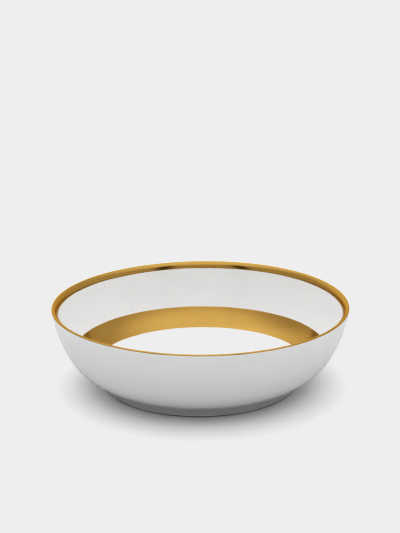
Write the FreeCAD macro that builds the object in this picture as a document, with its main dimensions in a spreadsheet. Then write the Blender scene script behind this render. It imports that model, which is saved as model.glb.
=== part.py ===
"""Porcelain serving bowl: fired body, luted foot ring, two glaze coats and two fired gold bands.

Millimetres, +Z up. The origin is the middle of the circle that the foot rests on.
Every piece is turned about Z, and all their half-sections share one set of arc centres:
a surface that lies deeper or prouder than another is the same arcs with other radii.
"""

import FreeCAD
import Part
import os
from collections import namedtuple

import Sketcher

# Driving dimensions: alias, value in millimetres or degrees, meaning.
DIMENSIONS = [
    ("rim_radius", 125.0, "outside radius of the lip"),
    ("height", 68.7, "resting face to the top of the lip"),
    ("wall", 4.75, "wall and base thickness, glaze included"),
    ("rim_lean", 7.3, "degrees the outside leans from upright at the lip"),
    ("upper_arc", 96.0, "radius of the upper wall's outside"),
    ("wall_turn", 32.5, "degrees below level where the upper arc meets the lower"),
    ("lower_arc", 48.5, "radius of the lower wall's outside"),
    ("floor_dish", 2.0, "degrees of slope where the lower arc meets the floor"),
    ("lip_round", 1.3, "radius of the lip's top"),
    ("lip_shoulder", 7.0, "radius that eases the lip into the inside wall"),
    ("foot_radius", 82.8, "outside radius of the glazed foot"),
    ("foot_width", 3.6, "width of the foot at its resting face"),
    ("foot_spread", 1.4, "how much wider the foot is where it meets the base"),
    ("foot_round", 1.0, "rounding of the foot's two lower edges"),
    ("glaze", 0.3, "thickness of the glaze"),
    ("glaze_stop", 1.6, "height above the resting face where the glaze ends"),
    ("glaze_pool", 1.5, "radius of the glaze pooled in the foot's corners"),
    ("gold", 0.1, "thickness that stands in for the fired gold"),
    ("rim_band_edge", 22.0, "degrees up the lip's round where the gold starts outside"),
    ("rim_band_depth", 5.6, "top of the lip to the rim band's edge inside"),
    ("well_band_top", 30.2, "height of the well band's upper edge"),
    ("well_band_bottom", 15.3, "height of the well band's lower edge"),
]

# Angles, in degrees above level as seen from an arc's centre.
LEAN = "dims.rim_lean * 1deg"
TURN = "dims.wall_turn * 1deg"
DISH = "dims.floor_dish * 1deg"
DOWN = "-90deg"
LEAVES_FLOOR = f"({DOWN} + {DISH})"

# Centres shared by every surface. The lip's two arcs touch each other and the wall's two
# arcs, so the triangle of the upper, crown and lip centres has these three sides.
TO_CROWN = "(dims.upper_arc - dims.lip_round)"
TO_LIP = "(dims.upper_arc - dims.wall + dims.lip_shoulder)"
CROWN_TO_LIP = "(dims.lip_shoulder - dims.lip_round)"
LIP_ANGLE = (
    f"({LEAN} + acos(({TO_CROWN}^2 + {TO_LIP}^2 - {CROWN_TO_LIP}^2)"
    f" / (2 * {TO_CROWN} * {TO_LIP})))"
)
CROWN_ANGLE = (
    f"(acos(({TO_CROWN}^2 + {CROWN_TO_LIP}^2 - {TO_LIP}^2)"
    f" / (2 * {TO_CROWN} * {CROWN_TO_LIP})) - {LEAN})"
)


def polar(centre, radius, angle):
    """The point at an angle on the circle about a centre, as two formulas."""
    if angle == DOWN:
        return centre[0], f"({centre[1]} - {radius})"
    return (
        f"({centre[0]} + {radius} * cos({angle}))",
        f"({centre[1]} + {radius} * sin({angle}))",
    )


CROWN = ("(dims.rim_radius - dims.lip_round)", "(dims.height - dims.lip_round)")
UPPER = polar(CROWN, TO_CROWN, f"180deg - {LEAN}")
LOWER = polar(UPPER, "(dims.upper_arc - dims.lower_arc)", f"-{TURN}")
LIP = polar(UPPER, TO_LIP, f"-{LIP_ANGLE}")
FLOOR = ("0", f"({LOWER[1]} + {LOWER[0]} / tan({DISH}))")
FLOOR_REACH = f"{LOWER[0]} / sin({DISH})"

# One arc of a section, walked from a start angle to an end angle.
Arc = namedtuple("Arc", "centre radius start end")


def outside(depth):
    """The surface below and outside, from the axis out to the lip."""
    return [
        Arc(FLOOR, f"({FLOOR_REACH} + dims.lower_arc - {depth})", DOWN, LEAVES_FLOOR),
        Arc(LOWER, f"(dims.lower_arc - {depth})", LEAVES_FLOOR, f"-{TURN}"),
        Arc(UPPER, f"(dims.upper_arc - {depth})", f"-{TURN}", f"-{LEAN}"),
    ]


def lip(depth):
    """The lip, from the outside wall over the top to the inside wall."""
    return [
        Arc(CROWN, f"(dims.lip_round - {depth})", f"-{LEAN}", CROWN_ANGLE),
        Arc(LIP, f"(dims.lip_shoulder - {depth})", CROWN_ANGLE, f"180deg - {LIP_ANGLE}"),
    ]


def inside(depth):
    """The surface inside, from the lip down to the axis."""
    reach = f"dims.lower_arc - dims.wall + {depth}"
    return [
        Arc(UPPER, f"(dims.upper_arc - dims.wall + {depth})", f"-{LIP_ANGLE}", f"-{TURN}"),
        Arc(LOWER, f"({reach})", f"-{TURN}", LEAVES_FLOOR),
        Arc(FLOOR, f"({FLOOR_REACH} + {reach})", LEAVES_FLOOR, DOWN),
    ]


def backwards(arcs):
    """The same arcs walked from the last one's end to the first one's start."""
    return [arc._replace(start=arc.end, end=arc.start) for arc in reversed(arcs)]


def first_point(arc):
    return polar(arc.centre, arc.radius, arc.start)


def last_point(arc):
    return polar(arc.centre, arc.radius, arc.end)


def under_wall(radius, depth):
    """The point of the lower wall's outside at a radius from the axis, a depth below the glaze."""
    reach = f"(dims.lower_arc - {depth})"
    return radius, f"({LOWER[1]} - sqrt({reach}^2 - ({radius} - {LOWER[0]})^2))"


class Section:
    """A closed half-section on a body's XZ plane, drawn as one loop of lines and arcs.

    Every point and centre is a pair of formulas on the sheet, which become the sketch's
    constraints. An arc starts where the loop has got to, so its centre gives its radius.
    """

    def __init__(self, body, start):
        self.sketch = body.newObject("Sketcher::SketchObject", body.Name + "_section")
        plane = next(f for f in body.Origin.OriginFeatures if f.Role == "XZ_Plane")
        self.sketch.AttachmentSupport = [(plane, "")]
        self.sketch.MapMode = "FlatFace"
        self.start = start
        self.at = self.value(start)
        self.end = None

    def value(self, point):
        """A point's place now, as a vector."""
        across, up = (float(self.sketch.evalExpression(formula)) for formula in point)
        return FreeCAD.Vector(across, up, 0)

    def pin(self, geometry, vertex, kind, formula):
        """Holds one coordinate of a vertex at a formula."""
        value = float(self.sketch.evalExpression(formula))
        if kind == "DistanceX" and value == 0:
            self.sketch.addConstraint(Sketcher.Constraint("PointOnObject", geometry, vertex, -2))
            return
        index = self.sketch.addConstraint(
            Sketcher.Constraint(kind, -1, 1, geometry, vertex, value)
        )
        self.sketch.setExpression(f"Constraints[{index}]", formula)

    def pin_both(self, geometry, vertex, point):
        self.pin(geometry, vertex, "DistanceX", point[0])
        self.pin(geometry, vertex, "DistanceY", point[1])

    def join(self, geometry, first, last, place):
        """Ties a new edge's first vertex to the loop's end, and moves the end on."""
        if self.end is None:
            self.first = (geometry, first)
            self.pin_both(geometry, first, self.start)
        else:
            self.sketch.addConstraint(
                Sketcher.Constraint("Coincident", *self.end, geometry, first)
            )
        self.end = (geometry, last)
        self.at = place

    def line(self, point):
        place = self.value(point)
        geometry = self.sketch.addGeometry(Part.LineSegment(self.at, place))
        self.join(geometry, 1, 2, place)
        self.pin_both(geometry, 2, point)

    def arc(self, centre, point):
        middle, place = self.value(centre), self.value(point)
        from_middle, to_place = self.at - middle, place - middle
        forward = from_middle.cross(to_place).z > 0
        ends = (from_middle, to_place) if forward else (to_place, from_middle)
        turn = [FreeCAD.Vector(1, 0, 0).getAngle(v) * (1 if v.y >= 0 else -1) for v in ends]
        circle = Part.Circle(middle, FreeCAD.Vector(0, 0, 1), from_middle.Length)
        geometry = self.sketch.addGeometry(Part.ArcOfCircle(circle, *turn))
        first, last = (1, 2) if forward else (2, 1)
        self.join(geometry, first, last, place)
        self.pin_both(geometry, 3, centre)
        if abs(to_place.x) > abs(to_place.y):
            self.pin(geometry, last, "DistanceY", point[1])
        else:
            self.pin(geometry, last, "DistanceX", point[0])

    def arcs(self, chain):
        for arc in chain:
            self.arc(arc.centre, last_point(arc))

    def close(self):
        geometry = self.sketch.addGeometry(
            Part.LineSegment(self.at, self.value(self.start))
        )
        self.sketch.addConstraint(Sketcher.Constraint("Coincident", *self.end, geometry, 1))
        self.sketch.addConstraint(Sketcher.Constraint("Coincident", geometry, 2, *self.first))


def make_sheet(document):
    sheet = document.addObject("Spreadsheet::Sheet", "dims")
    for row, (alias, value, meaning) in enumerate(DIMENSIONS, start=1):
        sheet.set(f"A{row}", str(value))
        sheet.set(f"B{row}", meaning)
        sheet.setAlias(f"A{row}", alias)
    document.recompute()
    return sheet


def make_body(document, label):
    body = document.addObject("PartDesign::Body", label)
    body.Label = label
    body.Placement = FreeCAD.Placement()
    return body


def turn_about_axis(body, section):
    section.close()
    solid = body.newObject("PartDesign::Revolution", body.Name + "_turned")
    solid.Profile = section.sketch
    solid.ReferenceAxis = (section.sketch, ["V_Axis"])
    solid.Angle = 360
    body.Document.recompute()
    return solid


def round_edges(body, feature, places, radius):
    """Rounds the circular edges that lie at the given places, each a radius and a height."""
    names = []
    for place in places:
        across, up = (float(feature.evalExpression(formula)) for formula in place)
        names += [
            f"Edge{number}"
            for number, edge in enumerate(feature.Shape.Edges, start=1)
            if not edge.Degenerated
            and isinstance(edge.Curve, Part.Circle)
            and abs(edge.Curve.Radius - across) < 1e-4
            and abs(edge.Curve.Center.z - up) < 1e-4
        ]
    rounding = body.newObject("PartDesign::Fillet", body.Name + "_rounded")
    rounding.Base = (feature, names)
    rounding.setExpression("Radius", radius)
    body.Document.recompute()


# The foot's four corners. Its top lies against the body's underside.
FOOT_OUT = "(dims.foot_radius - dims.glaze)"
FOOT_IN = "(dims.foot_radius - dims.foot_width)"
FOOT_IN_TOP = under_wall(f"({FOOT_IN} - dims.foot_spread)", "dims.glaze")
# Where the glaze ends on the foot's inner side, which slopes from FOOT_IN to FOOT_IN_TOP.
GLAZE_END_IN = f"({FOOT_IN} - dims.foot_spread * dims.glaze_stop / {FOOT_IN_TOP[1]})"


def porcelain_body(document):
    """The fired bowl without its foot: one even wall from the base to the lip."""
    body = make_body(document, "porcelain_body")
    skin = outside("dims.glaze") + lip("dims.glaze") + inside("dims.glaze")
    section = Section(body, first_point(skin[0]))
    section.arcs(skin)
    turn_about_axis(body, section)
    return body


def foot_ring(document):
    """The ring luted under the body, left bare where it rests on the table."""
    body = make_body(document, "foot_ring")
    section = Section(body, (FOOT_OUT, "0"))
    section.line(under_wall(FOOT_OUT, "dims.glaze"))
    section.arc(LOWER, FOOT_IN_TOP)
    section.line((FOOT_IN, "0"))
    turned = turn_about_axis(body, section)
    round_edges(body, turned, [(FOOT_OUT, "0"), (FOOT_IN, "0")], "dims.foot_round")
    return body


def glaze_coat(document):
    """The coat from the foot's outer side up the wall, over the lip and across the inside."""
    body = make_body(document, "glaze_coat")
    over = outside("0")[1:] + lip("0") + inside("0")
    under = backwards(outside("dims.glaze")[1:] + lip("dims.glaze") + inside("dims.glaze"))
    corner = under_wall("dims.foot_radius", "0")
    section = Section(body, ("dims.foot_radius", "dims.glaze_stop"))
    section.line(corner)
    section.arcs(over)
    section.line(first_point(under[0]))
    section.arcs(under[:-1])
    section.arc(LOWER, under_wall(FOOT_OUT, "dims.glaze"))
    section.line((FOOT_OUT, "dims.glaze_stop"))
    turned = turn_about_axis(body, section)
    round_edges(body, turned, [corner], "dims.glaze_pool")
    return body


def underside_glaze(document):
    """The coat inside the foot, which the bare resting face parts from the other coat."""
    body = make_body(document, "underside_glaze")
    ceiling = outside("0")[0]
    against_body, wall_under = outside("dims.glaze")[:2]
    corner = under_wall(f"({FOOT_IN_TOP[0]} - dims.glaze)", "0")
    section = Section(body, (GLAZE_END_IN, "dims.glaze_stop"))
    section.line(FOOT_IN_TOP)
    section.arc(LOWER, first_point(wall_under))
    section.arcs(backwards([against_body]))
    section.line(first_point(ceiling))
    section.arcs([ceiling])
    section.arc(LOWER, corner)
    section.line((f"({GLAZE_END_IN} - dims.glaze)", "dims.glaze_stop"))
    turned = turn_about_axis(body, section)
    round_edges(body, turned, [corner], "dims.glaze_pool")
    return body


def gold_band(document, label, arcs_at):
    """A band of gold on the glaze, with square edges: arcs_at(depth) are its arcs."""
    body = make_body(document, label)
    over, under = arcs_at("-dims.gold"), backwards(arcs_at("0"))
    section = Section(body, first_point(over[0]))
    section.arcs(over)
    section.line(first_point(under[0]))
    section.arcs(under)
    turn_about_axis(body, section)
    return body


def angle_at(height, arc):
    """The angle at which an arc of the inside passes a height."""
    return f"asin(({height} - {arc.centre[1]}) / {arc.radius})"


def gold_rim_band(document):
    """Gold over the top of the lip and a short way down the inside."""
    edge = angle_at("(dims.height - dims.rim_band_depth)", inside("0")[0])

    def arcs_at(depth):
        crown, shoulder = lip(depth)
        crown = crown._replace(start="dims.rim_band_edge * 1deg")
        return [crown, shoulder, inside(depth)[0]._replace(end=edge)]

    return gold_band(document, "gold_rim_band", arcs_at)


def gold_well_band(document):
    """The broad band round the well, all on the lower arc of the inside."""
    glazed = inside("0")[1]
    top = angle_at("dims.well_band_top", glazed)
    bottom = angle_at("dims.well_band_bottom", glazed)

    def arcs_at(depth):
        return [inside(depth)[1]._replace(start=top, end=bottom)]

    return gold_band(document, "gold_well_band", arcs_at)


def main():
    document = FreeCAD.newDocument("serving_bowl")
    make_sheet(document)
    makers = [
        porcelain_body,
        foot_ring,
        glaze_coat,
        underside_glaze,
        gold_rim_band,
        gold_well_band,
    ]
    pieces = [make(document) for make in makers]
    document.recompute()
    for item in document.Objects:
        if "Invalid" in item.State or "Error" in item.State:
            raise RuntimeError(f"{item.Label} failed: {item.State}")
    for piece in pieces:
        shape = piece.Shape
        if shape.isNull() or not shape.isValid() or len(shape.Solids) != 1:
            raise RuntimeError(f"{piece.Label} is not one valid solid")
    os.makedirs("parts", exist_ok=True)
    for piece in pieces:
        piece.Shape.exportStep(os.path.join("parts", piece.Label + ".step"))
        box = piece.Shape.optimalBoundingBox()
        print(f"{piece.Label}: {piece.Shape.Volume:.0f} mm3, z {box.ZMin:.2f} to {box.ZMax:.2f}")


main()
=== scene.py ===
"""Looks of the porcelain serving bowl, in metres, +Z up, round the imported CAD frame.

Each piece is turned about Z from the same arcs as its CAD node. What turning leaves out is
added to the mesh: the slight warp of the firing, the glaze's rounded ends, the ground foot,
and the hand-laid edges of the gold.
"""

import math
from collections import namedtuple

import bpy
from mathutils import Matrix, Vector, noise


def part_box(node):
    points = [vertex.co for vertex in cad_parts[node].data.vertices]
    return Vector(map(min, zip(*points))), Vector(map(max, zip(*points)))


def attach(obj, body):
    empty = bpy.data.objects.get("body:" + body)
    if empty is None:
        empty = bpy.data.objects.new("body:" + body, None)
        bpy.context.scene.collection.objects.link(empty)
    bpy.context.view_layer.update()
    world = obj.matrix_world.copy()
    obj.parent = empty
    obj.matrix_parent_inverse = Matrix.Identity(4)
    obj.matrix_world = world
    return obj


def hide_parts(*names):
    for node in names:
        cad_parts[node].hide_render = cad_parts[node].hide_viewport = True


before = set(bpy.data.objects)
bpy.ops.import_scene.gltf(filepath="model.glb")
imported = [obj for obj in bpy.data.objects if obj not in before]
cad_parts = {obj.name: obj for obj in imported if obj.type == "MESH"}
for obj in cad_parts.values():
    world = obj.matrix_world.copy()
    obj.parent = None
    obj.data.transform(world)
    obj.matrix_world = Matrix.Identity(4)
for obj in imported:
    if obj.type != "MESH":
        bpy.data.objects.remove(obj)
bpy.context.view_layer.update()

MM = 0.001

# The wall's arcs, as in the CAD part. Its size comes from the frame.
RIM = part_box("glaze_coat")[1].x
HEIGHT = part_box("glaze_coat")[1].z
WALL = 4.75 * MM
RIM_LEAN = math.radians(7.3)
UPPER_ARC = 96 * MM
WALL_TURN = math.radians(32.5)
LOWER_ARC = 48.5 * MM
FLOOR_DISH = math.radians(2)
LIP_ROUND = 1.3 * MM
LIP_SHOULDER = 7 * MM

# The foot and the coats.
FOOT_OUT = 82.8 * MM
FOOT_WIDTH = 3.6 * MM
FOOT_SPREAD = 1.4 * MM
FOOT_ROUND = 1 * MM
GLAZE = 0.3 * MM
GLAZE_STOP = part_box("glaze_coat")[0].z
POOL = 1.5 * MM
GOLD = 0.1 * MM
GOLD_BITE = 0.02 * MM
WELL_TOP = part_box("gold_well_band")[1].z
WELL_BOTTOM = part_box("gold_well_band")[0].z
RIM_BAND_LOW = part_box("gold_rim_band")[0].z
RIM_BAND_EDGE = math.radians(22)

# How finely the pieces are cut: slices round the bowl, and steps along a section.
SLICES = 384
STEP = 0.7 * MM
FEWEST_STEPS = 4
GOLD_STEP = 0.35 * MM
FEWEST_GOLD_STEPS = 12
GLAZE_END_STEPS = 24
# Edges that turn by more than this are shaded sharp, and points nearer Z than this are on it.
SHARP_FROM = math.radians(40)
ON_AXIS = 1e-6


def polar(centre, radius, angle):
    """The point at an angle on a circle."""
    return centre[0] + radius * math.cos(angle), centre[1] + radius * math.sin(angle)


def angle_from(centre, point):
    """The angle at which a point lies from a centre."""
    return math.atan2(point[1] - centre[1], point[0] - centre[0])


def corner_angle(near, far, opposite):
    """The angle between two sides of a triangle, from its three sides."""
    return math.acos((near**2 + far**2 - opposite**2) / (2 * near * far))


TO_CROWN = UPPER_ARC - LIP_ROUND
TO_LIP = UPPER_ARC - WALL + LIP_SHOULDER
CROWN_TO_LIP = LIP_SHOULDER - LIP_ROUND
LIP_ANGLE = RIM_LEAN + corner_angle(TO_CROWN, TO_LIP, CROWN_TO_LIP)
CROWN_ANGLE = corner_angle(TO_CROWN, CROWN_TO_LIP, TO_LIP) - RIM_LEAN

CROWN = (RIM - LIP_ROUND, HEIGHT - LIP_ROUND)
UPPER = polar(CROWN, TO_CROWN, math.pi - RIM_LEAN)
LOWER = polar(UPPER, UPPER_ARC - LOWER_ARC, -WALL_TURN)
LIP = polar(UPPER, TO_LIP, -LIP_ANGLE)
FLOOR = (0, LOWER[1] + LOWER[0] / math.tan(FLOOR_DISH))
FLOOR_REACH = LOWER[0] / math.sin(FLOOR_DISH)

# A stretch of a section's surface: place(share, lift) is the point a share of the way along,
# raised by lift off the glaze's surface, or sunk below it where lift is negative.
Stretch = namedtuple("Stretch", "length place")


def arc(centre, radius, start, end, side=1):
    """An arc whose air side is away from its centre, or towards it where side is -1."""

    def place(share, lift=0.0):
        return polar(centre, radius + side * lift, start + (end - start) * share)

    return Stretch(abs(end - start) * radius, place)


def line(start, end):
    """A straight stretch with the air on its right."""
    along = Vector(end) - Vector(start)
    across = Vector((along.y, -along.x)).normalized()

    def place(share, lift=0.0):
        return tuple(Vector(start) + along * share + across * lift)

    return Stretch(along.length, place)


def steps(stretch):
    """Even shares along a stretch, fine enough for a smooth surface."""
    count = max(FEWEST_STEPS, math.ceil(stretch.length / STEP))
    return [i / count for i in range(count + 1)]


def surface(stretches, lift=0.0):
    """Points along several stretches, each joint once."""
    points = [stretches[0].place(0, lift)]
    for stretch in stretches:
        points += [stretch.place(share, lift) for share in steps(stretch)[1:]]
    return points


LEAVES_FLOOR = FLOOR_DISH - math.pi / 2
UNDERSIDE = arc(FLOOR, FLOOR_REACH + LOWER_ARC, -math.pi / 2, LEAVES_FLOOR)
LOWER_OUT = arc(LOWER, LOWER_ARC, LEAVES_FLOOR, -WALL_TURN)
UPPER_OUT = arc(UPPER, UPPER_ARC, -WALL_TURN, -RIM_LEAN)
CROWN_TOP = arc(CROWN, LIP_ROUND, -RIM_LEAN, CROWN_ANGLE)
SHOULDER = arc(LIP, LIP_SHOULDER, CROWN_ANGLE, math.pi - LIP_ANGLE)
UPPER_IN = arc(UPPER, UPPER_ARC - WALL, -LIP_ANGLE, -WALL_TURN, side=-1)
LOWER_IN = arc(LOWER, LOWER_ARC - WALL, -WALL_TURN, LEAVES_FLOOR, side=-1)
WELL_FLOOR = arc(FLOOR, FLOOR_REACH + LOWER_ARC - WALL, LEAVES_FLOOR, -math.pi / 2, side=-1)


def wall_bottom(radius, depth=0.0):
    """The point of the lower wall's outside at a radius, a depth below the glaze's surface."""
    reach = LOWER_ARC - depth
    return radius, LOWER[1] - math.sqrt(reach**2 - (radius - LOWER[0]) ** 2)


def clay_angle(radius):
    """The angle, about the lower wall's centre, at which its outer clay is a radius from Z."""
    return -math.acos((radius - LOWER[0]) / (LOWER_ARC - GLAZE))


def angle_at_height(height, centre, reach):
    """The angle at which a circle about a centre passes a height, on its right."""
    return math.asin((height - centre[1]) / reach)


WAVER_TURNS = 6.0


def waver(theta, seed):
    """A smooth wave round the bowl, from about -1 to 1, that meets itself after a turn."""
    x = math.cos(theta) * WAVER_TURNS
    y = math.sin(theta) * WAVER_TURNS
    return 2 * noise.noise(Vector((x, y, seed)))


# What the firing did to the rim: its two high and two low quarters, its lean and its ovality.
SADDLE = 0.45 * MM
RIM_TILT = -0.15 * MM
OUT_OF_ROUND = 0.1 * MM
OVAL_TURN = 0.6
# The slight unevenness of the whole surface, and the share of the height, from the table up,
# over which it grows, so that the foot rests flat.
UNDULATION = 0.012 * MM
UNDULATION_SCALE = 45
FLAT_SHARE = 0.1
# Without a seed, noise_vector differs from run to run.
noise.seed_set(1)


def fired(radius, height, theta):
    """Where a point of the turned shape lies on the fired bowl."""
    share = max(height, 0) / HEIGHT
    radius += OUT_OF_ROUND * share * math.cos(2 * theta + OVAL_TURN)
    point = Vector((radius * math.cos(theta), radius * math.sin(theta), height))
    point.z += share**2 * (SADDLE * math.sin(2 * theta) + RIM_TILT * math.cos(theta))
    wave = noise.noise_vector(point * UNDULATION_SCALE) * UNDULATION
    wave.z *= min(1, share / FLAT_SHARE)
    return point + wave


def turned(name, outline_at, material, replaces):
    """A closed piece turned about Z. outline_at(theta) is its outline at an angle.

    The outline is a loop, or starts and ends on the axis, and has the air on its right.
    """
    vertices, faces = [], []
    on_axis = [radius < ON_AXIS for radius, _ in outline_at(0)]
    count = len(on_axis)
    rows = []
    for slice_ in range(SLICES):
        theta = 2 * math.pi * slice_ / SLICES
        row = []
        for i, (radius, height) in enumerate(outline_at(theta)):
            if on_axis[i] and slice_:
                row.append(rows[0][i])
                continue
            row.append(len(vertices))
            vertices.append(fired(radius, height, theta))
        rows.append(row)
    for slice_ in range(SLICES):
        here, there = rows[slice_], rows[(slice_ + 1) % SLICES]
        for i in range(count):
            j = (i + 1) % count
            if on_axis[i] and on_axis[j]:
                continue
            corners = [here[i], there[i], there[j], here[j]]
            faces.append([c for n, c in enumerate(corners) if c not in corners[:n]])
    mesh = bpy.data.meshes.new(name)
    mesh.from_pydata(vertices, [], faces)
    mesh.validate()
    mesh.shade_smooth()
    mesh.set_sharp_from_angle(angle=SHARP_FROM)
    mesh.materials.append(material)
    piece = bpy.data.objects.new(name, mesh)
    bpy.context.scene.collection.objects.link(piece)
    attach(piece, "root")
    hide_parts(replaces)


# The foot's clay: its outer side under the glaze, its inner side, and where each meets the base.
FOOT_CLAY_OUT = FOOT_OUT - GLAZE
FOOT_IN = FOOT_OUT - FOOT_WIDTH
FOOT_IN_TOP = wall_bottom(FOOT_IN - FOOT_SPREAD, GLAZE)
FOOT_TOP = wall_bottom(FOOT_CLAY_OUT, GLAZE)


# ---- Materials ----

# Each pair is the two colours that a surface varies between.
GLAZE_WHITES = (0.795, 0.797, 0.80), (0.825, 0.827, 0.83)
# Painted shade: the grey, a little cool, that the glaze low round the foot is painted.
FOOT_SHADE_GLAZE = (0.55, 0.558, 0.57)
BARE_CLAYS = (0.70, 0.67, 0.62), (0.82, 0.80, 0.76)
# Painted contact shade: the dark grey that the foot's resting edge is painted.
CONTACT_SHADE_CLAY = (0.22, 0.215, 0.21)
GOLD_FILMS = (0.418, 0.292, 0.123), (0.448, 0.318, 0.138)
GOLD_IN_MARKS = (0.385, 0.262, 0.101)
GOLD_EDGE_ON = (0.92, 0.74, 0.5)
# Painted contact shade: the foot's resting edge is fully darkened up to one height, and not at
# all past the other.
CONTACT_SHADE_FULL = 0.7 * MM
CONTACT_SHADE_TOP = 1.2 * MM


def new_material(name):
    material = bpy.data.materials.new(name)
    material.use_nodes = True
    tree = material.node_tree
    return material, tree, tree.nodes["Principled BSDF"]


def add(tree, kind, **settings):
    """A node with its properties and inputs set by name, and sockets linked to its inputs."""
    node = tree.nodes.new(kind)
    for key, value in settings.items():
        if isinstance(value, bpy.types.NodeSocket):
            tree.links.new(value, node.inputs[key])
        elif key in node.inputs:
            node.inputs[key].default_value = value
        else:
            setattr(node, key, value)
    return node


def fine_noise(tree, vector, scale, detail=2.0, roughness=0.5):
    node = add(tree, "ShaderNodeTexNoise", Vector=vector, Scale=scale, Detail=detail)
    node.inputs["Roughness"].default_value = roughness
    return node.outputs["Fac"]


def spread(tree, value, low, high, from_low=0.3, from_high=0.7):
    """A value taken from one range to another, without passing its ends.

    Unless from_low and from_high are given, they are about what noise runs between.
    """
    node = add(tree, "ShaderNodeMapRange", Value=value)
    node.inputs["From Min"].default_value = from_low
    node.inputs["From Max"].default_value = from_high
    node.inputs["To Min"].default_value = low
    node.inputs["To Max"].default_value = high
    return node.outputs["Result"]


# Where a Mix node keeps its two colours and their mix, among sockets of the same name.
MIX_COLOURS = slice(6, 8)
MIX_RESULT = 2


def between(tree, share, first, second):
    """A colour between two, each a colour or a socket."""
    node = add(tree, "ShaderNodeMix", data_type="RGBA")
    tree.links.new(share, node.inputs["Factor"])
    for socket, colour in zip(node.inputs[MIX_COLOURS], (first, second)):
        if isinstance(colour, bpy.types.NodeSocket):
            tree.links.new(colour, socket)
        else:
            socket.default_value = (*colour, 1)
    return node.outputs[MIX_RESULT]


def height_of(tree, place):
    node = add(tree, "ShaderNodeSeparateXYZ", Vector=place)
    return node.outputs["Z"]


def flattened(tree, place):
    node = add(tree, "ShaderNodeVectorMath", operation="MULTIPLY")
    tree.links.new(place, node.inputs[0])
    node.inputs[1].default_value = (1, 1, 0)
    return node.outputs["Vector"]


def radius_of(tree, place):
    node = add(tree, "ShaderNodeVectorMath", operation="LENGTH")
    tree.links.new(flattened(tree, place), node.inputs[0])
    return node.outputs["Value"]


def maths(tree, operation, first, second):
    """Two numbers put together, each a number or a socket."""
    node = add(tree, "ShaderNodeMath", operation=operation)
    for socket, value in zip(node.inputs, (first, second)):
        if isinstance(value, bpy.types.NodeSocket):
            tree.links.new(value, socket)
        else:
            socket.default_value = value
    return node.outputs["Value"]


def round_the_bowl(tree, place, along, across):
    """Coordinates for marks that run round the bowl: long one way, fine the other."""
    way = add(tree, "ShaderNodeVectorMath", operation="NORMALIZE")
    tree.links.new(flattened(tree, place), way.inputs[0])
    turn = add(tree, "ShaderNodeVectorMath", operation="SCALE")
    tree.links.new(way.outputs["Vector"], turn.inputs[0])
    turn.inputs["Scale"].default_value = along
    up = maths(tree, "ADD", radius_of(tree, place), height_of(tree, place))
    lift = add(tree, "ShaderNodeCombineXYZ", Z=maths(tree, "MULTIPLY", up, across))
    both = add(tree, "ShaderNodeVectorMath", operation="ADD")
    tree.links.new(turn.outputs["Vector"], both.inputs[0])
    tree.links.new(lift.outputs["Vector"], both.inputs[1])
    return both.outputs["Vector"]


def bumped(tree, shader, height, strength, distance):
    bump = add(tree, "ShaderNodeBump", Height=height, Strength=strength, Distance=distance)
    tree.links.new(bump.outputs["Normal"], shader.inputs["Normal"])


def glaze_material():
    """Glossy white, painted darker and a little cooler low round the foot as painted shade."""
    material, tree, shader = new_material("white_glaze")
    place = add(tree, "ShaderNodeTexCoord").outputs["Object"]
    mottle = fine_noise(tree, place, scale=35, detail=3)
    white = between(tree, mottle, *GLAZE_WHITES)
    # Painted shade: the glaze low round the foot, on its outside and its inner side, is painted
    # grey.
    low = spread(tree, height_of(tree, place), 1, 0, FOOT_TOP[1] - POOL, FOOT_TOP[1] + POOL)
    at_foot = spread(tree, radius_of(tree, place), 0, 1, FOOT_IN - 2 * POOL, FOOT_IN - POOL)
    painted_foot_shade = maths(tree, "MULTIPLY", low, at_foot)
    colour = between(tree, painted_foot_shade, white, FOOT_SHADE_GLAZE)
    tree.links.new(colour, shader.inputs["Base Color"])
    patches = fine_noise(tree, place, scale=90)
    tree.links.new(spread(tree, patches, 0.14, 0.2), shader.inputs["Roughness"])
    peel = fine_noise(tree, place, scale=420, detail=1)
    bumped(tree, shader, peel, strength=0.06, distance=0.1 * MM)
    shader.inputs["IOR"].default_value = 1.5
    shader.inputs["Specular IOR Level"].default_value = 0.25
    return material


def bare_material():
    """Unglazed porcelain: chalky, finely grained, and painted dark in scuffed patches at its
    resting edge as painted contact shade.
    """
    material, tree, shader = new_material("bare_porcelain")
    place = add(tree, "ShaderNodeTexCoord").outputs["Object"]
    mottle = fine_noise(tree, place, scale=120, detail=4)
    clay = between(tree, mottle, *BARE_CLAYS)
    scuff_run = round_the_bowl(tree, place, along=9, across=1500)
    scuffs = fine_noise(tree, scuff_run, scale=1, detail=3)
    # Painted contact shade: the resting edge is painted dark grey, in scuffed patches.
    contact_shade = spread(tree, height_of(tree, place), 1, 0, CONTACT_SHADE_FULL, CONTACT_SHADE_TOP)
    scuffed_contact_shade = maths(tree, "MULTIPLY", contact_shade, spread(tree, scuffs, 0.7, 1, 0.35, 0.6))
    colour = between(tree, scuffed_contact_shade, clay, CONTACT_SHADE_CLAY)
    tree.links.new(colour, shader.inputs["Base Color"])
    grain = fine_noise(tree, place, scale=2600, detail=3)
    tree.links.new(spread(tree, grain, 0.65, 0.85), shader.inputs["Roughness"])
    bumped(tree, shader, grain, strength=0.4, distance=0.05 * MM)
    return material


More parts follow.
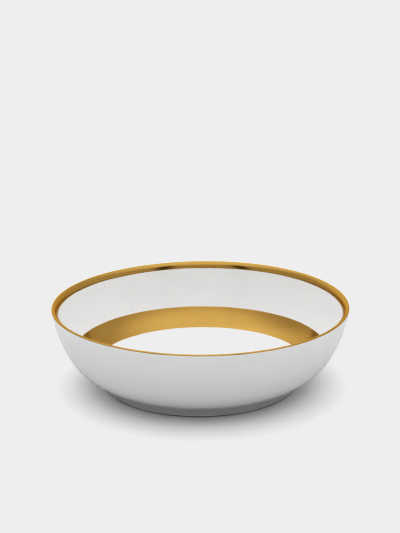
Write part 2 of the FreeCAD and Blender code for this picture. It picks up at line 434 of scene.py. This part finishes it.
def gold_material():
    """Burnished gold: marks of the burnisher round the bowl, and an uneven film."""
    material, tree, shader = new_material("fired_gold")
    place = add(tree, "ShaderNodeTexCoord").outputs["Object"]
    thick = fine_noise(tree, place, scale=60, detail=3)
    film = between(tree, thick, *GOLD_FILMS)
    strokes = round_the_bowl(tree, place, along=14, across=2600)
    marks = fine_noise(tree, strokes, scale=1, detail=3, roughness=0.65)
    colour = between(tree, spread(tree, marks, 0, 0.25), film, GOLD_IN_MARKS)
    tree.links.new(colour, shader.inputs["Base Color"])
    tree.links.new(spread(tree, marks, 0.14, 0.2), shader.inputs["Roughness"])
    bumped(tree, shader, marks, strength=0.12, distance=0.02 * MM)
    shader.inputs["Metallic"].default_value = 1
    shader.inputs["Specular Tint"].default_value = (*GOLD_EDGE_ON, 1)
    return material


# How white the stage looks, and how much light it sends back to the bowl.
STAGE_WHITE = 0.9
STAGE_BOUNCE = 0.61


def stage_material():
    """A plain matte floor that looks whiter than the light it sends back."""
    material, tree, shader = new_material("pale_floor")
    seen = add(tree, "ShaderNodeLightPath").outputs["Is Camera Ray"]
    colour = between(tree, seen, (STAGE_BOUNCE,) * 3, (STAGE_WHITE,) * 3)
    tree.links.new(colour, shader.inputs["Base Color"])
    shader.inputs["Roughness"].default_value = 1
    shader.inputs["Specular IOR Level"].default_value = 0
    return material


# ---- Pieces ----


def fired_body(material):
    """The clay of base and wall, under the glaze."""
    skin = [UNDERSIDE, LOWER_OUT, UPPER_OUT, CROWN_TOP, SHOULDER, UPPER_IN, LOWER_IN, WELL_FLOOR]
    outline = surface(skin, -GLAZE)
    turned("fired_body", lambda theta: outline, material, "porcelain_body")


def bare_foot(material):
    """The foot ring, ground flat where it rests."""
    inner = line(FOOT_IN_TOP, (FOOT_IN, 0))
    lean = math.atan2(FOOT_SPREAD, FOOT_IN_TOP[1])
    reach_in = FOOT_ROUND * math.tan((math.pi / 2 - lean) / 2)
    centre_out = (FOOT_CLAY_OUT - FOOT_ROUND, FOOT_ROUND)
    centre_in = (FOOT_IN + reach_in, FOOT_ROUND)
    round_out = arc(centre_out, FOOT_ROUND, -math.pi / 2, 0)
    round_in = arc(centre_in, FOOT_ROUND, math.pi - lean, 1.5 * math.pi)
    clay_out, clay_in = clay_angle(FOOT_TOP[0]), clay_angle(FOOT_IN_TOP[0])
    top = arc(LOWER, LOWER_ARC - GLAZE, clay_out, clay_in)
    stretches = [
        round_out,
        line(round_out.place(1), FOOT_TOP),
        top,
        line(FOOT_IN_TOP, round_in.place(0)),
        round_in,
        line(round_in.place(1), round_out.place(0)),
    ]
    outline = surface(stretches)[:-1]
    turned("bare_foot", lambda theta: outline, material, "foot_ring")


# The glaze's end on the foot: its round, the bead just past it, and how far it strays.
BEAD_ROUND = 0.5 * MM
BEAD_RISE = 0.05 * MM
BEAD_MIDDLE = 1.6 * BEAD_ROUND
GLAZE_STRAYS = 0.15 * MM
# How much of the foot's inner side the underside's glaze takes to reach its full thickness.
INNER_ROUND = 0.25


def rounded(share):
    """The glaze's thickness where it rises off the clay in a round, at a share of the round."""
    return GLAZE * math.sqrt(1 - (1 - min(share, 1)) ** 2)


def glaze_end(stretch, stop):
    """Points of a glaze's surface from where it ends, at a share of a stretch, to its far end.

    It rises off the clay in a round, and is a little thicker just past it.
    """
    points = []
    length = stretch.length * (1 - stop)
    for i in range(GLAZE_END_STEPS + 1):
        run = length * (i / GLAZE_END_STEPS) ** 2
        bead = BEAD_RISE * math.exp(-(((run - BEAD_MIDDLE) / BEAD_ROUND) ** 2))
        rise = rounded(run / BEAD_ROUND) + bead * min(run / BEAD_ROUND, 1)
        points.append(stretch.place(stop + run / stretch.length, rise - GLAZE))
    return points


def fillet(side_radius, outward):
    """The pooled glaze in the corner between a side of the foot and the base.

    outward is 1 at the foot's outer side and -1 at its inner side.
    """
    centre = wall_bottom(side_radius + outward * POOL, -POOL)
    foot_side = math.pi if outward > 0 else 0
    return arc(centre, POOL, foot_side, angle_from(centre, LOWER), side=-1)


def glazed_wall(material):
    """The coat over the foot's outside, the wall, the lip and the whole inside."""
    pool = fillet(FOOT_OUT, 1)
    side = line((FOOT_OUT, 0), pool.place(0))
    lower_out = arc(LOWER, LOWER_ARC, angle_from(LOWER, pool.place(1)), -WALL_TURN)
    rest = [pool, lower_out, UPPER_OUT, CROWN_TOP, SHOULDER, UPPER_IN, LOWER_IN, WELL_FLOOR]
    over = surface(rest)[1:]
    past_foot = arc(LOWER, LOWER_ARC, clay_angle(FOOT_CLAY_OUT), -WALL_TURN)
    under_skin = [past_foot, UPPER_OUT, CROWN_TOP, SHOULDER, UPPER_IN, LOWER_IN, WELL_FLOOR]
    under = surface(under_skin, -GLAZE)[::-1]

    def outline(theta):
        stop = (GLAZE_STOP + GLAZE_STRAYS * waver(theta, seed=3.1)) / side.length
        return glaze_end(side, stop) + over + under

    turned("glazed_wall", outline, material, "glaze_coat")


def glazed_underside(material):
    """The coat inside the foot, over the base's underside."""
    side_clay = line((FOOT_IN, 0), FOOT_IN_TOP)
    pool = fillet(FOOT_IN_TOP[0] - GLAZE, -1)
    lower_in_foot = arc(LOWER, LOWER_ARC, angle_from(LOWER, pool.place(1)), LEAVES_FLOOR)
    ceiling = arc(FLOOR, FLOOR_REACH + LOWER_ARC, LEAVES_FLOOR, -math.pi / 2)
    over = surface([pool, lower_in_foot, ceiling])[1:]
    in_foot = arc(LOWER, LOWER_ARC, clay_angle(FOOT_IN_TOP[0]), LEAVES_FLOOR)
    under = surface([in_foot, ceiling], -GLAZE)[::-1]

    def outline(theta):
        stop = GLAZE_STOP + GLAZE_STRAYS * waver(theta, seed=7.7)
        start = Vector(side_clay.place(stop / FOOT_IN_TOP[1]))
        end = Vector(pool.place(0))
        points = []
        for i in range(GLAZE_END_STEPS + 1):
            share = i / GLAZE_END_STEPS
            point = start.lerp(Vector((end.x + GLAZE, end.y)), share)
            points.append((point.x - rounded(share / INNER_ROUND), point.y))
        return (points + over + under)[::-1]

    turned("glazed_underside", outline, material, "underside_glaze")


# How thick a gold film is at its very edge, as a share, how suddenly it thins towards it, and
# how far its two edges stray.
FILM_EDGE = 0.15
FILM_FALL = 12
RIM_BAND_STRAYS = 0.12 * MM
WELL_BAND_STRAYS = 0.1 * MM


def gold_film(name, stretches, edges, material, node):
    """A gold film over some stretches. edges(theta) says how far each end is drawn in."""
    total = sum(stretch.length for stretch in stretches)
    count = max(FEWEST_GOLD_STEPS, math.ceil(total / GOLD_STEP))

    def at(run, lift):
        """The point a distance along the stretches, raised by lift."""
        run = min(max(run, 0), total)
        for stretch in stretches:
            if run <= stretch.length or stretch is stretches[-1]:
                return stretch.place(min(run / stretch.length, 1), lift)
            run -= stretch.length

    def outline(theta):
        first, last = edges(theta)
        top, bottom = [], []
        for i in range(count + 1):
            share = i / count
            run = first + (total - first - last) * share
            fullness = 1 - abs(2 * share - 1) ** FILM_FALL
            top.append(at(run, GOLD * (FILM_EDGE + (1 - FILM_EDGE) * fullness)))
            bottom.append(at(run, -GOLD_BITE))
        return top + bottom[::-1]

    turned(name, outline, material, node)


def gold_lip(material):
    """The gold from just outside the lip, over it and down the inside."""
    low = angle_at_height(RIM_BAND_LOW, UPPER, UPPER_ARC - WALL)
    crown = arc(CROWN, LIP_ROUND, RIM_BAND_EDGE, CROWN_ANGLE)
    inner = arc(UPPER, UPPER_ARC - WALL, -LIP_ANGLE, low, side=-1)

    def edges(theta):
        return 0.0, RIM_BAND_STRAYS * (1 + waver(theta, seed=11.3))

    gold_film("gold_lip", [crown, SHOULDER, inner], edges, material, "gold_rim_band")


def gold_well(material):
    """The broad gold band where the wall turns into the floor."""
    reach = LOWER_ARC - WALL
    top = angle_at_height(WELL_TOP, LOWER, reach)
    bottom = angle_at_height(WELL_BOTTOM, LOWER, reach)
    band = arc(LOWER, reach, top, bottom, side=-1)

    def edges(theta):
        above = WELL_BAND_STRAYS * (1 + waver(theta, seed=21.7))
        below = WELL_BAND_STRAYS * (1 + waver(theta, seed=31.9))
        return above, below

    gold_film("gold_well", [band], edges, material, "gold_well_band")


# ---- Stage, light and camera ----


STAGE_RADIUS = 14
STAGE_SIDES = 64


def make_stage():
    """A wide round floor, so that nothing else is behind the bowl."""
    turns = [2 * math.pi * i / STAGE_SIDES for i in range(STAGE_SIDES)]
    points = [(STAGE_RADIUS * math.cos(turn), STAGE_RADIUS * math.sin(turn), 0) for turn in turns]
    mesh = bpy.data.meshes.new("floor")
    mesh.from_pydata(points, [], [list(range(STAGE_SIDES))])
    mesh.materials.append(stage_material())
    floor = bpy.data.objects.new("floor", mesh)
    bpy.context.scene.collection.objects.link(floor)


def direction(azimuth, elevation):
    """A unit vector. Azimuth 0 is towards the front, -Y, and 90 is towards +X."""
    a, e = math.radians(azimuth), math.radians(elevation)
    return math.sin(a) * math.cos(e), -math.cos(a) * math.cos(e), math.sin(e)


def soft_patch(tree, towards, azimuth, elevation, full_within, none_past, strength):
    """A round patch of sky: full inside one angle from its middle, none past another."""
    facing = add(tree, "ShaderNodeVectorMath", operation="DOT_PRODUCT")
    tree.links.new(towards, facing.inputs[0])
    facing.inputs[1].default_value = direction(azimuth, elevation)
    patch = add(tree, "ShaderNodeMapRange", interpolation_type="SMOOTHSTEP")
    tree.links.new(facing.outputs["Value"], patch.inputs["Value"])
    patch.inputs["From Min"].default_value = math.cos(math.radians(none_past))
    patch.inputs["From Max"].default_value = math.cos(math.radians(full_within))
    patch.inputs["To Min"].default_value = 0
    patch.inputs["To Max"].default_value = strength
    return patch.outputs["Result"]


# Angles in degrees, as soft_patch takes them.
SoftLight = namedtuple("SoftLight", "azimuth elevation full_within none_past strength")

# Even light all round, a softbox overhead, and one on each side behind.
EVEN_LIGHT = 0.955
SOFTBOXES = [
    SoftLight(0, 84, 0, 58, 0.7),
    SoftLight(-165, 40, 0, 45, 0.5),
    SoftLight(165, 50, 30, 120, 0.25),
]
# A long low light round the front: full up to one elevation, none past another.
STRIP = SoftLight(0, 0, 60, 120, 0.3)
STRIP_FULL = 12
STRIP_TOP = 26
# Two dark upright stands in front, which the rim's gold mirrors: the azimuth and half width of
# each, how high they are full and end, all in degrees, and the share of the light they stop.
STANDS = [(31, 8), (-36, 7)]
STAND_FULL = 38
STAND_TOP = 52
STAND_STOPS = 0.85


def strip_light(tree, towards):
    """The long low light in front, at each direction of the sky."""
    full, top = math.sin(math.radians(STRIP_FULL)), math.sin(math.radians(STRIP_TOP))
    low = spread(tree, height_of(tree, towards), 1, 0, full, top)
    return maths(tree, "MULTIPLY", soft_patch(tree, towards, *STRIP), low)


def past_stand(tree, towards, azimuth, half_width):
    """The share of the light that a dark stand lets past, at each direction of the sky.

    It is at its darkest over the middle third of its width.
    """
    aside = add(tree, "ShaderNodeVectorMath", operation="DOT_PRODUCT")
    tree.links.new(towards, aside.inputs[0])
    aside.inputs[1].default_value = direction(azimuth + 90, 0)
    off = maths(tree, "ABSOLUTE", aside.outputs["Value"], 0)
    edge = math.sin(math.radians(half_width))
    within = spread(tree, off, 1, 0, edge / 3, edge)
    upright = soft_patch(tree, towards, azimuth, 0, STAND_FULL, STAND_TOP, STAND_STOPS)
    return maths(tree, "SUBTRACT", 1, maths(tree, "MULTIPLY", within, upright))


def make_sky():
    """The studio's light, as a sky with soft patches and dark stands in it."""
    world = bpy.data.worlds.new("studio")
    bpy.context.scene.world = world
    world.use_nodes = True
    tree = world.node_tree
    towards = add(tree, "ShaderNodeTexCoord").outputs["Generated"]
    total = EVEN_LIGHT
    for light in SOFTBOXES:
        total = maths(tree, "ADD", total, soft_patch(tree, towards, *light))
    total = maths(tree, "ADD", total, strip_light(tree, towards))
    for stand in STANDS:
        total = maths(tree, "MULTIPLY", total, past_stand(tree, towards, *stand))
    background = tree.nodes["Background"]
    background.inputs["Color"].default_value = (1, 1, 1, 1)
    tree.links.new(total, background.inputs["Strength"])


# Where the camera stands, how far it looks down and leans, in radians, and its lens.
CAMERA_PLACE = Vector((0, -1.0864, 0.4303))
CAMERA_DOWN = 0.29434
CAMERA_ROLL = -0.00809
CAMERA_LENS = 91.72


def make_camera():
    data = bpy.data.cameras.new("camera")
    data.lens = CAMERA_LENS
    data.sensor_width = 36
    data.clip_end = 100
    camera = bpy.data.objects.new("camera", data)
    tilt = Matrix.Rotation(math.pi / 2 - CAMERA_DOWN, 4, "X")
    roll = Matrix.Rotation(CAMERA_ROLL, 4, "Z")
    camera.matrix_world = Matrix.Translation(CAMERA_PLACE) @ tilt @ roll
    bpy.context.scene.collection.objects.link(camera)
    bpy.context.scene.camera = camera


# The picture's contrast in the shadows, how soon its highlights soften, and its white.
CONTRAST = 1.9
HIGHLIGHTS = 1.5
WHITE = 0.855
# The amounts of light between none and full at which the tone curve is set.
TONE_POINTS = (0.05, 0.1, 0.2, 0.35, 0.5, 0.65, 0.8, 0.9)
COMBINED = 3


def tone(light):
    """Deep shadows and soft highlights, for light from 0 to 1."""
    value = light**CONTRAST
    return WHITE * value * (1 + HIGHLIGHTS) / (value + HIGHLIGHTS)


def set_tones():
    """Plain tones but for the curve, which holds full white a little short of the brightest."""
    view = bpy.context.scene.view_settings
    view.view_transform = "Standard"
    view.use_curve_mapping = True
    mapping = view.curve_mapping
    curve = mapping.curves[COMBINED]
    curve.points[1].location = (1, WHITE)
    for light in TONE_POINTS:
        curve.points.new(light, tone(light))
    mapping.extend = "HORIZONTAL"
    mapping.update()


def main():
    bare, glaze, gold = bare_material(), glaze_material(), gold_material()
    fired_body(bare)
    bare_foot(bare)
    glazed_wall(glaze)
    glazed_underside(glaze)
    gold_lip(gold)
    gold_well(gold)
    make_stage()
    make_sky()
    make_camera()
    set_tones()


main()
